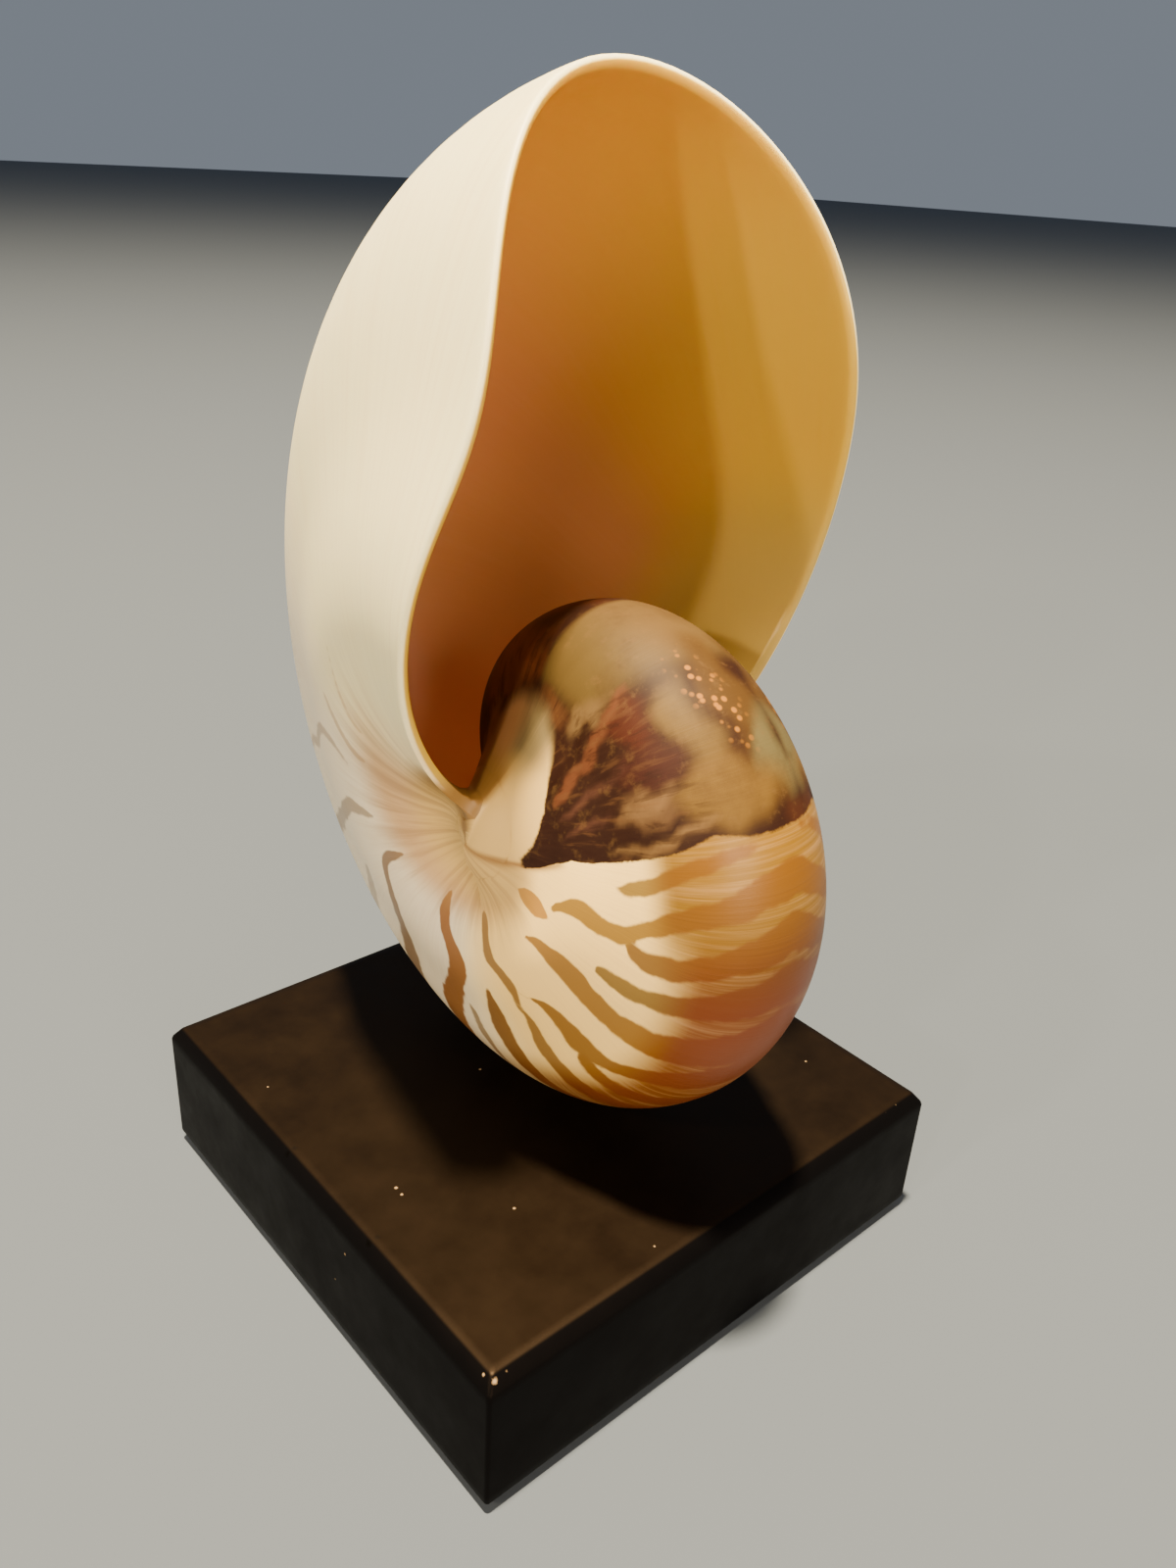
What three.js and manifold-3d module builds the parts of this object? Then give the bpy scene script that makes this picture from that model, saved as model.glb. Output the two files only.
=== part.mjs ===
// A whole chambered nautilus shell, glued upright on a square black slab.
// Millimetres, +Z up. The origin is the middle of the slab's underside, and the shell's mouth faces -Y.
//
// The shell is one tube wound in a flat spiral. Every cross-section of the tube has the same outline,
// which grows by a fixed ratio with the turn, and each whorl wraps right around the one before it.
// The last third of a turn is the open living chamber. Behind it the tube is shut by a dished wall.
import * as THREE from 'three';
import { mergeVertices } from 'three/addons/utils/BufferGeometryUtils.js';
import Module from 'manifold-3d';

const wasm = await Module();
wasm.setup();

// The slab: side and height, with a small bevel along its top and bottom edges.
const SLAB_SIDE = 100;
const SLAB_HEIGHT = 27;
const SLAB_BEVEL_INSET = 1.6;
const SLAB_BEVEL_DROP = 2.2;

// Where the coil's axis stands over the slab, and how the shell is set down: turned about the upright,
// and leaning a little towards -X.
const COIL_CENTRE = new THREE.Vector3(1.3, -9.4, 86.4);
const SHELL_TURN = THREE.MathUtils.degToRad(-93);
const SHELL_LEAN = THREE.MathUtils.degToRad(2);

// The spiral. Turn 0 is straight up, and the tube grows towards the mouth as the turn grows.
const KEEL_RADIUS = 103; // from the coil's axis to the outer edge of the tube at turn 0
const GROWTH_PER_TURN = 3.2; // how many times larger the tube is after each whole turn
const WIDTH_GROWTH_PER_TURN = 0.7; // the width grows more slowly, so young whorls are rounder

// The tube's outline, for a keel radius of 1. It is a distance from a centre line that runs round the
// coil at SECTION_CENTRE: a circle with gentle waves, as WAVES[k] * cos(k * angle). Angle 0 is the keel.
// It is open towards the coil's axis past UMBILICUS, where the tube closes on the whorl inside it.
const SECTION_CENTRE = 0.45;
const SECTION_WAVES = [0.433, -0.005, 0.083, 0.027, 0.01, 0.002];
const UMBILICUS = THREE.MathUtils.degToRad(166);

// The lip of the mouth: the turn where the tube ends, in degrees, as waves from keel to umbilicus.
// The bays left in it are the one at the keel and one on each side near the umbilicus.
const LIP_WAVES = [7.8, -0.6, -5.3, -1.5, -0.7];

// The wall, and the living chamber, which is shut by a dished wall this many degrees of turn back.
const WALL = 1.7;
const CHAMBER_BACK = -128;
const CHAMBER_DISH = 14;
const PAST_THE_LIP = 16;

// The inner whorls are wound back almost a whole turn from where they join the last one. All that is
// older lies hidden inside them.
const JOIN_TURN = -190;
const INNERMOST_TURN = JOIN_TURN - 350;

// The button of smooth lime that fills the navel of the coil on both sides: half width, radius, and
// how square its rim is (2 would be an ellipse).
const CALLUS_HALF_WIDTH = 22;
const CALLUS_RADIUS = 12.5;
const CALLUS_POWER = 2.4;
const CALLUS_PROFILE_STEPS = 12;

// The bead of clear glue between the shell and the slab: half length, half width, height.
const BEAD_LENGTH = 12;
const BEAD_WIDTH = 9;
const BEAD_HEIGHT = 3;
const CLEARANCE = 0.3;

// Steps of the grids.
const SECTION_STEPS = 34;
const TURN_STEP = 7;
const LIP_STEPS = 3;

const turnToRadians = THREE.MathUtils.degToRad;

// The turn at which the lip ends the tube, for an angle round the section.
function lipTurn(angle) {
  const t = (Math.abs(angle) / UMBILICUS) * Math.PI;
  return LIP_WAVES.reduce((sum, wave, k) => sum + wave * Math.cos(k * t), 0);
}

// A point of the tube, in the coil's own frame: X is the way that the mouth faces, Y is the coil's axis.
// inset moves the point in towards the middle of the tube, by that many millimetres.
function tubePoint(turn, angle, inset) {
  const size = KEEL_RADIUS * GROWTH_PER_TURN ** (turn / 360);
  const widen = WIDTH_GROWTH_PER_TURN ** (turn / 360);
  const waves = SECTION_WAVES.reduce((sum, wave, k) => sum + wave * Math.cos(k * angle), 0);
  const reach = size * waves - inset;
  const radius = size * SECTION_CENTRE + reach * Math.cos(angle);
  const phi = turnToRadians(turn);
  return new THREE.Vector3(radius * Math.sin(phi), widen * reach * Math.sin(angle), radius * Math.cos(phi));
}

// A closed stretch of the tube. rings is a list of functions that give the turn for an angle, one for
// each cross-section, and each end is closed by a fan to the middle of its section.
function tubeSolid(rings, inset, startDish = 0) {
  const angles = Array.from({ length: SECTION_STEPS + 1 }, (_, j) => UMBILICUS * ((2 * j) / SECTION_STEPS - 1));
  const points = rings.flatMap((turnAt) => angles.map((angle) => tubePoint(turnAt(angle), angle, inset)));
  const across = angles.length;
  const triangles = [];
  for (let i = 0; i + 1 < rings.length; i += 1) {
    for (let j = 0; j < across; j += 1) {
      const here = i * across + j;
      const beside = i * across + ((j + 1) % across);
      triangles.push(here, here + across, beside, beside, here + across, beside + across);
    }
  }
  const middle = (turn) => {
    const size = KEEL_RADIUS * GROWTH_PER_TURN ** (turn / 360);
    const phi = turnToRadians(turn);
    return new THREE.Vector3(size * SECTION_CENTRE * Math.sin(phi), 0, size * SECTION_CENTRE * Math.cos(phi));
  };
  const first = points.length;
  points.push(middle(rings[0](0) - startDish), middle(rings[rings.length - 1](0)));
  const lastRing = (rings.length - 1) * across;
  for (let j = 0; j < across; j += 1) {
    const next = (j + 1) % across;
    triangles.push(first, j, next, first + 1, lastRing + next, lastRing + j);
  }
  return toSolid(points, triangles);
}

// Cross-sections at even steps from one turn to another.
function flatRings(from, to) {
  const count = Math.max(1, Math.round(Math.abs(to - from) / TURN_STEP));
  return Array.from({ length: count + 1 }, (_, i) => () => from + ((to - from) * i) / count);
}

// Cross-sections that bend from a flat one into the line of the lip, and end extra degrees past it.
function lipRings(from, extra) {
  return Array.from({ length: LIP_STEPS }, (_, i) => {
    const share = (i + 1) / LIP_STEPS;
    return (angle) => from + (lipTurn(angle) + extra - from) * share;
  });
}

function toSolid(points, triangles) {
  const vertProperties = new Float32Array(points.flatMap((p) => p.toArray()));
  const triVerts = new Uint32Array(triangles);
  return new wasm.Manifold(new wasm.Mesh({ numProp: 3, vertProperties, triVerts }));
}

function geometryToSolid(geometry) {
  const bare = geometry.clone();
  bare.deleteAttribute('normal');
  bare.deleteAttribute('uv');
  const merged = mergeVertices(bare, 1e-4);
  return new wasm.Manifold(
    new wasm.Mesh({
      numProp: 3,
      vertProperties: new Float32Array(merged.attributes.position.array),
      triVerts: new Uint32Array(merged.index.array),
    }),
  );
}

function solidToGeometry(solid) {
  const mesh = solid.getMesh();
  const geometry = new THREE.BufferGeometry();
  geometry.setAttribute('position', new THREE.BufferAttribute(new Float32Array(mesh.vertProperties), 3));
  geometry.setIndex(new THREE.BufferAttribute(new Uint32Array(mesh.triVerts), 1));
  geometry.computeVertexNormals();
  return geometry;
}

// From the coil's own frame to the place where the shell stands.
const shellPlace = new THREE.Matrix4().makeRotationFromEuler(new THREE.Euler(SHELL_LEAN, 0, SHELL_TURN, 'ZYX'));
shellPlace.setPosition(COIL_CENTRE);

// The shell: the last whorl hollowed to its wall, the whorls inside it, and the callus in the navel.
const FLAT_END = -8;
const lastWhorl = tubeSolid([...flatRings(JOIN_TURN, FLAT_END), ...lipRings(FLAT_END, 0)], 0);
const chamberRings = [...flatRings(CHAMBER_BACK, FLAT_END), ...lipRings(FLAT_END, PAST_THE_LIP)];
const chamber = tubeSolid(chamberRings, WALL, CHAMBER_DISH);
const innerWhorls = tubeSolid(flatRings(INNERMOST_TURN, JOIN_TURN), 0);
const callusProfile = Array.from({ length: CALLUS_PROFILE_STEPS + 1 }, (_, i) => {
  const lean = Math.PI * (i / CALLUS_PROFILE_STEPS - 0.5);
  const out = Math.cos(lean) ** (2 / CALLUS_POWER);
  const along = Math.sign(lean) * Math.abs(Math.sin(lean)) ** (2 / CALLUS_POWER);
  return new THREE.Vector2(CALLUS_RADIUS * out, CALLUS_HALF_WIDTH * along);
});
callusProfile[0].x = 0;
callusProfile[CALLUS_PROFILE_STEPS].x = 0;
const callus = geometryToSolid(new THREE.LatheGeometry(callusProfile, 24));
const shellSolid = lastWhorl.subtract(chamber).add(innerWhorls).add(callus);
const shell = new THREE.Mesh(
  solidToGeometry(shellSolid),
  new THREE.MeshStandardMaterial({ color: 0xf3e2c4, roughness: 0.35, metalness: 0 }),
);
shell.name = 'nautilus_shell';
shell.applyMatrix4(shellPlace);

// The slab: a square of painted wood, bevelled along its top and bottom edges.
const half = SLAB_SIDE / 2 - SLAB_BEVEL_INSET;
const slabOutline = new THREE.Shape([
  new THREE.Vector2(-half, -half),
  new THREE.Vector2(half, -half),
  new THREE.Vector2(half, half),
  new THREE.Vector2(-half, half),
]);
const slab = new THREE.Mesh(
  new THREE.ExtrudeGeometry(slabOutline, {
    depth: SLAB_HEIGHT - 2 * SLAB_BEVEL_DROP,
    bevelSize: SLAB_BEVEL_INSET,
    bevelThickness: SLAB_BEVEL_DROP,
    bevelSegments: 1,
  }),
  new THREE.MeshStandardMaterial({ color: 0x17140f, roughness: 0.45, metalness: 0 }),
);
slab.name = 'base_slab';
slab.position.set(0, 0, SLAB_BEVEL_DROP);

// The glue bead: a flat lens on the slab, hollowed by the shell that was pressed into it.
const lowest = new THREE.Vector3(0, 0, Infinity);
const corners = shell.geometry.attributes.position;
for (let i = 0; i < corners.count; i += 1) {
  const corner = new THREE.Vector3().fromBufferAttribute(corners, i).applyMatrix4(shellPlace);
  if (corner.z < lowest.z) {
    lowest.copy(corner);
  }
}
const beadProfile = [
  [0, 0],
  [1, 0],
  [0.94, 0.35],
  [0.8, 0.68],
  [0.6, 0.88],
  [0.35, 0.97],
  [0, 1],
].map(([radius, height]) => new THREE.Vector2(radius, height));
const beadLens = new THREE.LatheGeometry(beadProfile, 28);
beadLens.rotateX(Math.PI / 2);
beadLens.scale(BEAD_WIDTH, BEAD_LENGTH, BEAD_HEIGHT);
beadLens.translate(lowest.x, lowest.y, SLAB_HEIGHT);
const pressedIn = tubeSolid(flatRings(JOIN_TURN - 50, JOIN_TURN + 70), -CLEARANCE).transform(shellPlace.elements);
const bead = new THREE.Mesh(
  solidToGeometry(geometryToSolid(beadLens).subtract(pressedIn)),
  new THREE.MeshStandardMaterial({ color: 0xd9c49a, roughness: 0.25, metalness: 0 }),
);
bead.name = 'glue_bead';

const group = new THREE.Group();
group.name = 'nautilus_shell_on_slab';
group.add(slab, bead, shell);

export default group;
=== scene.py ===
# A whole chambered nautilus shell, glued upright on a bevelled black slab.
# Metres, +Z up. The shell's mouth faces -Y, and the coil's axis runs nearly along X.
import math
import bpy
import numpy as np
from mathutils import Matrix, Vector


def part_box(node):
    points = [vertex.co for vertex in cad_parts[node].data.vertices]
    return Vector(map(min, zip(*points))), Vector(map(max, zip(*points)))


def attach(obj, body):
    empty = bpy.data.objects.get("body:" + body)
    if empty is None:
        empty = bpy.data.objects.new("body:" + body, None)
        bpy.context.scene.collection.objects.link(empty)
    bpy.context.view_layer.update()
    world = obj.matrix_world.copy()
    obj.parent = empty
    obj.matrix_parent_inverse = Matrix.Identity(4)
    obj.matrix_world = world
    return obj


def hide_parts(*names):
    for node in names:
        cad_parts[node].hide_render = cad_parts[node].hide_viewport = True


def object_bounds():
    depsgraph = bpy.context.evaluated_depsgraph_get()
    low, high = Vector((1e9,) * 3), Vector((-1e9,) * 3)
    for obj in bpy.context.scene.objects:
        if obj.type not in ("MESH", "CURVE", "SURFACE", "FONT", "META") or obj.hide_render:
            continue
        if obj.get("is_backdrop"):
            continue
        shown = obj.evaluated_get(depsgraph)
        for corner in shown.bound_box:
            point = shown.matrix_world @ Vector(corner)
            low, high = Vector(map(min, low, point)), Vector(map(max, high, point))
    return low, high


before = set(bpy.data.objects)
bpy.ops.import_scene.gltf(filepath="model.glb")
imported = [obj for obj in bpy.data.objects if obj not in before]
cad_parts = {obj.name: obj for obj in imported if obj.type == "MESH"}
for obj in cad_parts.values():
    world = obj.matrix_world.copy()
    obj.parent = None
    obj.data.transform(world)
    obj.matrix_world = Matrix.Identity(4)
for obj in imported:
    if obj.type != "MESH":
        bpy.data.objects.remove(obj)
cad_box = [list(corner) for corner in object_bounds()]

# THE SLAB
# A square of board about 10 cm wide and 25 mm thick, its top and bottom edges planed to a narrow bevel
# and all of it sprayed satin black. It is scuffed and dusty on top, with a few chips along the edges.
MM = 0.001
slab_low, slab_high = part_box("base_slab")
SLAB_HALF = (slab_high.x - slab_low.x) / 2
SLAB_TOP = slab_high.z
BEVEL_INSET = 1.6 * MM
BEVEL_DROP = 2.2 * MM
ARRIS = 0.3 * MM
FLAT_BAND = 1.5 * MM
UPRIGHT_CORNER = 0.7 * MM


def mesh_object(name, points, faces):
    """A smooth-shaded mesh object of that name, from an array of points and a list of faces."""
    mesh = bpy.data.meshes.new(name)
    mesh.from_pydata(points.reshape(-1, 3).tolist(), [], faces)
    mesh.shade_smooth()
    thing = bpy.data.objects.new(name, mesh)
    bpy.context.scene.collection.objects.link(thing)
    return thing


def grid_faces(rows, columns, first=0):
    """Quads of a grid whose columns close on themselves: (i, j), (i, j+1), (i+1, j+1), (i+1, j)."""
    i, j = np.meshgrid(np.arange(rows - 1), np.arange(columns), indexing="ij")
    k = (j + 1) % columns
    quads = np.stack([i * columns + j, i * columns + k, (i + 1) * columns + k, (i + 1) * columns + j], -1)
    return (quads.reshape(-1, 4) + first).tolist()


def slab_surface(steps=6):
    """Rings up the slab's profile. Each ring is a rounded square: four corner arcs of radius
    UPRIGHT_CORNER about centres that stand half - radius out both ways."""
    slope = BEVEL_DROP / BEVEL_INSET
    lower = [
        (BEVEL_INSET + FLAT_BAND, 0),
        (BEVEL_INSET + ARRIS, 0),
        (BEVEL_INSET - ARRIS * 0.6, ARRIS * 0.6 * slope),
        (ARRIS * 0.6, BEVEL_DROP - ARRIS * 0.6 * slope),
        (0, BEVEL_DROP + ARRIS),
        (0, BEVEL_DROP + FLAT_BAND),
    ]
    profile = np.array(lower + [(inset, SLAB_TOP - height) for inset, height in reversed(lower)])
    quarter = np.repeat(np.arange(4), steps)
    turn = (quarter + np.tile(np.linspace(0, 1, steps), 4)) * math.pi / 2
    diagonal = quarter * math.pi / 2 + math.pi / 4
    centre = np.stack([np.cos(diagonal), np.sin(diagonal)], -1)
    reach = SLAB_HALF - profile[:, 0] - UPRIGHT_CORNER
    flat = reach[:, None, None] * centre * math.sqrt(2)
    flat = flat + UPRIGHT_CORNER * np.stack([np.cos(turn), np.sin(turn)], -1)
    height = np.broadcast_to(profile[:, 1, None, None], flat.shape[:2] + (1,))
    return np.concatenate([flat, height], -1)


slab_points = slab_surface()
rings, columns = slab_points.shape[:2]
slab_faces = grid_faces(rings, columns)
slab_faces += [list(range(columns))[::-1], list(range((rings - 1) * columns, rings * columns))]
slab = mesh_object("slab", slab_points, slab_faces)
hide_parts("base_slab")
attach(slab, "root")


def linear(code, alpha=1.0):
    """A hex colour such as "F3E2C4" as linear red, green, blue and alpha."""
    channels = [int(code[i:i + 2], 16) / 255 for i in (0, 2, 4)]
    return [c / 12.92 if c <= 0.04045 else ((c + 0.055) / 1.055) ** 2.4 for c in channels] + [alpha]


def add(tree, kind, values=None, **settings):
    """Adds one node. settings are its properties, and values its inputs by name or place:
    a socket is linked, anything else is set. Returns the node."""
    node = tree.nodes.new(kind)
    for key, value in settings.items():
        setattr(node, key, value)
    for key, value in (values or {}).items():
        if isinstance(value, bpy.types.NodeSocket):
            tree.links.new(value, node.inputs[key])
        else:
            node.inputs[key].default_value = value
    return node


def new_material(name, **values):
    """An empty node material with one Principled shader that has those constant values.
    Returns the material, its node tree and the shader."""
    material = bpy.data.materials.new(name)
    material.use_nodes = True
    tree = material.node_tree
    tree.nodes.clear()
    shader = add(tree, "ShaderNodeBsdfPrincipled", {key.replace("_", " "): v for key, v in values.items()})
    add(tree, "ShaderNodeOutputMaterial", {"Surface": shader.outputs[0]})
    return material, tree, shader


# Satin black paint on board. The lamp's warmth shows in a soft cloudy sheen, where hands and cloths
# have polished it, and dust and chips of bare filler show as pale specks.
paint, tree, shader = new_material("satin_black_paint", IOR=1.5)
shader.inputs["Specular Tint"].default_value = linear("FFD9B4")
place = add(tree, "ShaderNodeTexCoord").outputs["Object"]
SHEEN_SIZE = 9 * MM
cloud = {"Vector": place, "Scale": 1 / SHEEN_SIZE, "Detail": 4.0, "Roughness": 0.6}
cloud = add(tree, "ShaderNodeTexNoise", cloud)
ORANGE_PEEL_SIZE = 0.9 * MM
peel = add(tree, "ShaderNodeTexNoise", {"Vector": place, "Scale": 1 / ORANGE_PEEL_SIZE, "Detail": 2.0})
tone = {"Factor": cloud.outputs[0], 6: linear("050302"), 7: linear("0C0703")}
tone = add(tree, "ShaderNodeMix", tone, data_type="RGBA")
# The top and the sides differ by which way they face, as painted light: the top's warm brown is the lamp's
# warmth painted on, and the sides' cool blue-black is a painted reflection of the cool surroundings.
facing = add(tree, "ShaderNodeSeparateXYZ", {0: add(tree, "ShaderNodeNewGeometry").outputs["Normal"]})
facing_up = add(tree, "ShaderNodeMapRange", {"Value": facing.outputs["Z"], "From Min": 0.8, "From Max": 0.98})
painted_facing_light = {"Factor": facing_up.outputs[0], 6: linear("040405"), 7: tone.outputs[2]}
painted_facing_light = add(tree, "ShaderNodeMix", painted_facing_light, data_type="RGBA")
# Pale marks are chips through to the filler at the front corner, specks of dust, and a scratch near the right
# edge. Dark ones are painted shade in dents in the left edge. Each is a place and a radius in millimetres.
PALE_MARKS = [
    (-48.2, -48.9, 26.2, 0.55), (-46, -49.1, 26.6, 0.4), (-48.9, -47.2, 26.4, 0.3),
    (-27, -26, 27, 0.3), (-39.3, -10.8, 27, 0.35), (-39.4, -12.6, 27, 0.3), (-43.7, 23.6, 27, 0.22),
    (-14.7, -45.6, 27, 0.22), (39.3, -30.4, 27, 0.25), (-50, -12.4, 20.7, 0.3),
    (-50, -8.9, 12.2, 0.2), (34.8, -49, 27, 0.2), (36.5, -48.9, 27, 0.25), (38.3, -48.8, 27, 0.22),
    (40, -48.7, 27, 0.3), (41.6, -48.7, 27, 0.25), (43.1, -48.6, 27, 0.3), (-10.9, 4.8, 27, 0.3),
]
DENT_SHADE_MARKS = [
    (-49.1, 7.2, 26.5, 0.8), (-47.6, 7.1, 27, 0.7), (-48.9, -17.6, 26.6, 0.8),
    (-47.3, -17.8, 27, 0.7),
]
marked = painted_facing_light.outputs[2]
MARK_NOISE_SIZE = 0.5 * MM
ragged = add(tree, "ShaderNodeTexNoise", {"Vector": place, "Scale": 1 / MARK_NOISE_SIZE, "Detail": 2.0})
for marks, code in ((PALE_MARKS, "8A7458"), (DENT_SHADE_MARKS, "020202")):
    for x, y, z, radius in marks:
        centre = (x * MM, y * MM, z * MM)
        apart = add(tree, "ShaderNodeVectorMath", {0: place, 1: centre}, operation="DISTANCE")
        size = {0: ragged.outputs[0], 1: -radius * MM, 2: radius * 1.5 * MM}
        size = add(tree, "ShaderNodeMath", size, operation="MULTIPLY_ADD").outputs[0]
        limits = {"Value": apart.outputs["Value"], "From Min": size, "From Max": 0.3 * radius * MM}
        share = add(tree, "ShaderNodeMapRange", limits)
        marked = {"Factor": share.outputs[0], 6: marked, 7: linear(code)}
        marked = add(tree, "ShaderNodeMix", marked, data_type="RGBA").outputs[2]
tree.links.new(marked, shader.inputs["Base Color"])
sheen = add(tree, "ShaderNodeMapRange", {"Value": facing_up.outputs[0], "To Min": 0.03, "To Max": 0.13})
tree.links.new(sheen.outputs[0], shader.inputs["Specular IOR Level"])
gloss = {"Value": cloud.outputs[0], "From Min": 0.3, "From Max": 0.7, "To Min": 0.4, "To Max": 0.52}
gloss = add(tree, "ShaderNodeMapRange", gloss)
tree.links.new(gloss.outputs[0], shader.inputs["Roughness"])
bump = add(tree, "ShaderNodeBump", {"Height": peel.outputs[0], "Strength": 0.12, "Distance": 0.05 * MM})
tree.links.new(bump.outputs[0], shader.inputs["Normal"])
slab.data.materials.append(paint)

# THE SHELL
# One grown piece of lime: a tube wound flat, each whorl wrapped round the one before. Its outline grows
# by a fixed ratio with the turn. The last third of a turn is the open living chamber, lined with nacre.
COIL_CENTRE = np.array([1.3, -9.4, 86.4]) * MM
SHELL_TURN = math.radians(-93)
SHELL_LEAN = math.radians(2)
KEEL_RADIUS = 103 * MM
GROWTH_PER_TURN = 3.2
WIDTH_GROWTH_PER_TURN = 0.7
SECTION_CENTRE = 0.45
SECTION_WAVES = [0.433, -0.005, 0.083, 0.027, 0.01, 0.002]
UMBILICUS = math.radians(166)
LIP_WAVES = [7.8, -0.6, -5.3, -1.5, -0.7]
WALL = 1.7 * MM
CHAMBER_BACK = -128
CHAMBER_DISH = 14
JOIN_TURN = -190
INNERMOST_TURN = JOIN_TURN - 350
# The button is thinner here than in the solids, because the fillets round it make up the rest.
CALLUS_HALF_WIDTH = 25 * MM
CALLUS_RADIUS = 8 * MM
CALLUS_POWER = 2.2


def section_reach(angle):
    """The tube's outline for a keel radius of 1: the sum of SECTION_WAVES[k] times cos(k angle)."""
    return sum(wave * np.cos(k * angle) for k, wave in enumerate(SECTION_WAVES))


def lip_turn(angle):
    """The turn, in degrees, at which the lip ends the tube: LIP_WAVES[k] times cos(k t), where t goes
    from 0 at the keel to pi at the umbilicus."""
    t = np.abs(angle) / UMBILICUS * math.pi
    return sum(wave * np.cos(k * t) for k, wave in enumerate(LIP_WAVES))


def tube_size(turn):
    """Keel radius at that turn: it grows by GROWTH_PER_TURN with every 360 degrees."""
    return KEEL_RADIUS * GROWTH_PER_TURN ** (turn / 360)


def tube(turn, angle, inset=0.0, share=1.0):
    """Points of the tube in the coil's frame (X the way the mouth faces, Y the coil's axis).
    reach = size * outline - inset, times share; radius = size * SECTION_CENTRE + reach cos(angle);
    the point is (radius sin(turn), width * reach sin(angle), radius cos(turn))."""
    size = tube_size(turn)
    reach = (size * section_reach(angle) - inset) * share
    radius = size * SECTION_CENTRE + reach * np.cos(angle)
    phi = np.radians(turn)
    width = WIDTH_GROWTH_PER_TURN ** (turn / 360)
    return np.stack([radius * np.sin(phi), width * reach * np.sin(angle), radius * np.cos(phi)], -1)


COIL_TO_SLAB = np.array(Matrix.Rotation(SHELL_TURN, 3, "Z") @ Matrix.Rotation(SHELL_LEAN, 3, "X"))


def stand(points):
    """From the coil's frame to where the shell stands on the slab."""
    return points @ COIL_TO_SLAB.T + COIL_CENTRE


# Steps of the skin's grid: round the section, along the inner whorls, up the last whorl to the lip, down the
# inside, over the lip and across the dished wall.
SECTION_STEPS = 150
angles = np.linspace(-UMBILICUS, UMBILICUS, SECTION_STEPS)
lip = lip_turn(angles)
inner_rows = np.concatenate([np.arange(INNERMOST_TURN, -500, 4), np.arange(-500, JOIN_TURN, 1.5)])
up = np.linspace(0, 1, 190)[:, None]
down = np.linspace(0, 1, 110)[:, None]
swing = np.linspace(0, math.pi, 9)[1:-1, None]
share = np.linspace(1, 0.03, 16)[1:, None]

# The shell is one skin, row by row: out along the coil to the lip, over the lip in a half circle as wide as
# the wall is thick, back down the inside, and across the dished wall at the back of the chamber. Where the
# tube runs through the whorl inside it, near the navel, that whorl hides it.
outside_turns = np.concatenate([inner_rows[:, None] + 0 * angles, JOIN_TURN + (lip - JOIN_TURN) * up])
outside = tube(outside_turns, angles)
off_axis = np.maximum(np.hypot(outside[-1][:, 0], outside[-1][:, 2]), 12 * MM)
over_turns = lip + np.degrees(np.sin(swing) * WALL / 2 / off_axis)
over = tube(over_turns, angles, WALL / 2 * (1 - np.cos(swing)))
inside_turns = lip + (CHAMBER_BACK - lip) * down
inside = tube(inside_turns, angles, WALL)
dish_turns = CHAMBER_BACK - CHAMBER_DISH * (1 - share**2) + 0 * angles
dish = tube(dish_turns, angles, WALL, share)


def callus_button(steps=60, across=72):
    """The button in the navel: rings of radius cos(s) ** (2/p) at a width of sin(s) ** (2/p)."""
    s = np.linspace(-math.pi / 2, math.pi / 2, steps)[1:-1, None]
    turn = np.linspace(0, 2 * math.pi, across, endpoint=False)
    out = CALLUS_RADIUS * np.cos(s) ** (2 / CALLUS_POWER)
    along = CALLUS_HALF_WIDTH * np.sign(s) * np.abs(np.sin(s)) ** (2 / CALLUS_POWER)
    return np.stack([out * np.sin(turn), along + 0 * turn, out * np.cos(turn)], -1)


def capped_faces(rows, across, first, turned_over):
    """The quads of a closed grid, and a fan at each end to a point that follows the grid's points."""
    faces = grid_faces(rows, across, first)
    j = np.arange(across)
    k = (j + 1) % across
    ends = first + rows * across
    last_row = first + (rows - 1) * across
    faces += np.stack([np.full(across, ends), first + k, first + j], -1).tolist()
    faces += np.stack([np.full(across, ends + 1), last_row + j, last_row + k], -1).tolist()
    return [face[::-1] for face in faces] if turned_over else faces


skin = np.concatenate([outside, over, inside, dish])
button = callus_button()
bodies = []
for grid in (skin, button):
    bodies += [grid.reshape(-1, 3), [grid[0].mean(0), grid[-1].mean(0)]]
faces = capped_faces(*skin.shape[:2], 0, True)
faces += capped_faces(*button.shape[:2], skin.size // 3 + 2, False)
coil = np.concatenate(bodies)


def fit_to_tube(points, turn):
    """For points in the coil's frame and the turn they are measured at: the angle round the section, and
    how far they stand outside the tube's outline (distance from the centre line - reach)."""
    size = tube_size(turn)
    across = points[:, 1] / WIDTH_GROWTH_PER_TURN ** (turn / 360)
    up = np.hypot(points[:, 0], points[:, 2]) - size * SECTION_CENTRE
    angle = np.arctan2(across, up)
    return angle, np.hypot(across, up) - size * section_reach(angle)


def turn_of(points):
    """The angle of a point round the coil's axis, in degrees, from JOIN_TURN up to 360 degrees more."""
    theta = np.degrees(np.arctan2(points[:, 0], points[:, 2]))
    return np.where(theta > JOIN_TURN + 360, theta - 360, theta)


def smooth_least(a, b, k):
    """The lesser of two distances, rounded where they are closer than k: min(a, b) - h * h * k / 4, where
    h = max(k - |a - b|, 0) / k."""
    h = np.maximum(k - np.abs(a - b), 0) / k
    return np.minimum(a, b) - h * h * k / 4


CALLUS_FILLET = 12 * MM
WALL_FILLET = 2.5 * MM
FILLET_REACH = 30 * MM


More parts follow.
